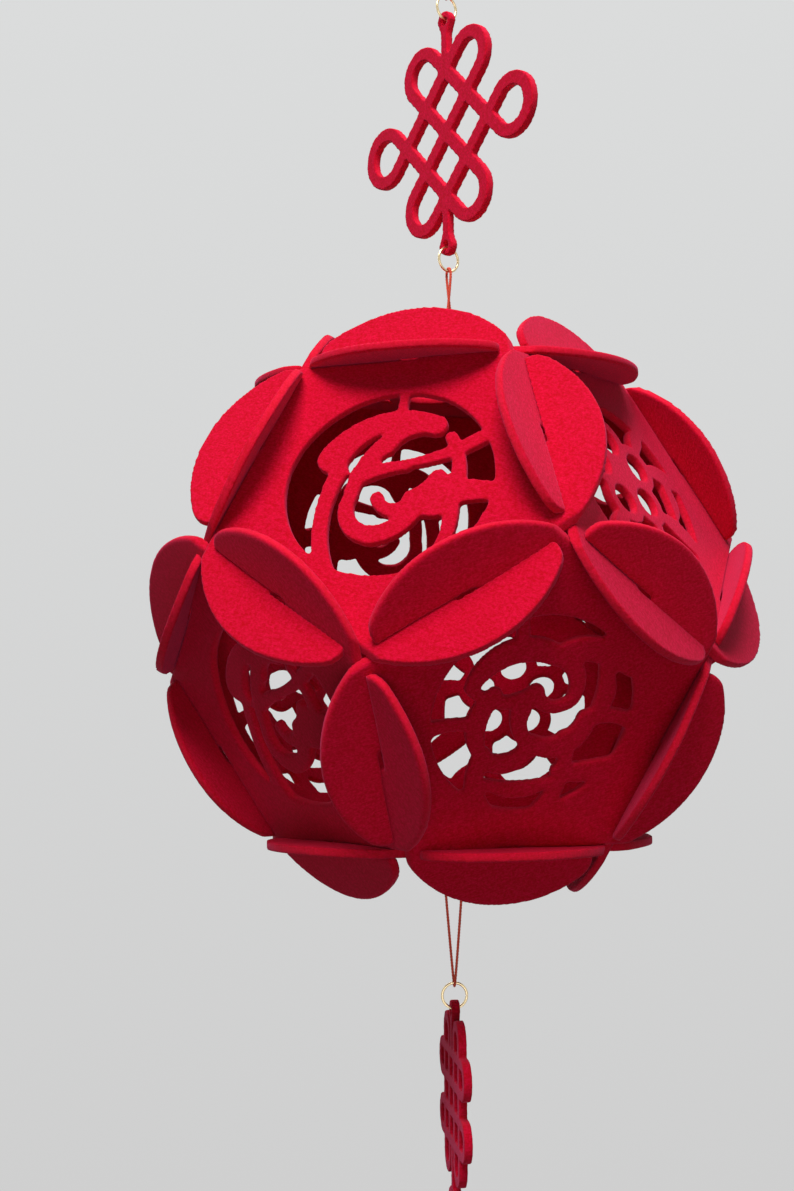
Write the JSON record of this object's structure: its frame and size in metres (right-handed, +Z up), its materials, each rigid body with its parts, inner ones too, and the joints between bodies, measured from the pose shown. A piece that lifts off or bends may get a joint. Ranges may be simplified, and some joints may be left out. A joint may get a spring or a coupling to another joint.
{
  "type": "felt ball lantern",
  "caption": "Open ball of slotted round-lobed felt panels with cut-out windows, hung on cord from a felt knot plate, with a felt knot and tassel below.",
  "frame": {"origin": "point inside the top of the hanging eye that rests on a hook", "axes": "+Z up along the hanging line; the camera side of the ball faces -Y"},
  "size_m": [0.2198, 0.2206, 0.555],
  "materials": {
    "crimson_felt": "pressed polyester felt, 3 mm, matt and slightly fuzzy",
    "red_cord": "braided elastic cord",
    "gold_wire": "bright gold-coloured wire"
  },
  "bodies": {
    "hanger": {"hanging_cord": "red_cord", "hanging_knot": "red_cord"},
    "top_link": {"top_ring": "gold_wire"},
    "knot_plate": {"upper_knot": "crimson_felt"},
    "middle_link": {"middle_ring": "gold_wire"},
    "ball_cord": {"upper_cord": "red_cord"},
    "ball": {"panel_top": "crimson_felt", "panel_upper_1": "crimson_felt", "panel_upper_2": "crimson_felt", "panel_upper_3": "crimson_felt", "panel_upper_4": "crimson_felt", "panel_upper_5": "crimson_felt", "panel_lower_1": "crimson_felt", "panel_lower_2": "crimson_felt", "panel_lower_3": "crimson_felt", "panel_lower_4": "crimson_felt", "panel_lower_5": "crimson_felt", "panel_bottom": "crimson_felt", "upper_stop_knot": "red_cord", "lower_stop_knot": "red_cord"},
    "pendant_cord": {"lower_cord": "red_cord"},
    "lower_link": {"lower_ring": "gold_wire"},
    "pendant": {"lower_pendant": "crimson_felt"}
  },
  "joints": [
    {"name": "top_ring_swing", "type": "hinge", "parent": "hanger", "child": "top_link", "pos_m": [0, 0, -0.041], "axis": [0.6018, -0.7986, 0], "range_deg": [-45, 45]},
    {"name": "knot_swing", "type": "hinge", "parent": "top_link", "child": "knot_plate", "pos_m": [0, 0, -0.04885], "axis": [0.7986, 0.6018, 0], "range_deg": [-45, 45]},
    {"name": "middle_ring_swing", "type": "hinge", "parent": "knot_plate", "child": "middle_link", "pos_m": [0, 0, -0.13593], "axis": [0.7986, 0.6018, 0], "range_deg": [-45, 45]},
    {"name": "ball_cord_swing", "type": "hinge", "parent": "middle_link", "child": "ball_cord", "pos_m": [0, 0, -0.14378], "axis": [0.6018, -0.7986, 0], "range_deg": [-45, 45]},
    {"name": "ball_turn", "type": "hinge", "parent": "ball_cord", "child": "ball", "pos_m": [0, 0, -0.18793], "axis": [0, 0, 1], "range_deg": [-150, 150], "deforming": ["upper_cord"]},
    {"name": "pendant_turn", "type": "hinge", "parent": "ball", "child": "pendant_cord", "pos_m": [0, 0, -0.35496], "axis": [0, 0, 1], "range_deg": [-150, 150], "deforming": ["lower_cord"]},
    {"name": "lower_ring_swing", "type": "hinge", "parent": "pendant_cord", "child": "lower_link", "pos_m": [0, 0, -0.40781], "axis": [0.1219, -0.9925, 0], "range_deg": [-45, 45]},
    {"name": "pendant_swing", "type": "hinge", "parent": "lower_link", "child": "pendant", "pos_m": [0, 0, -0.41566], "axis": [0.9925, 0.1219, 0], "range_deg": [-45, 45]}
  ]
}
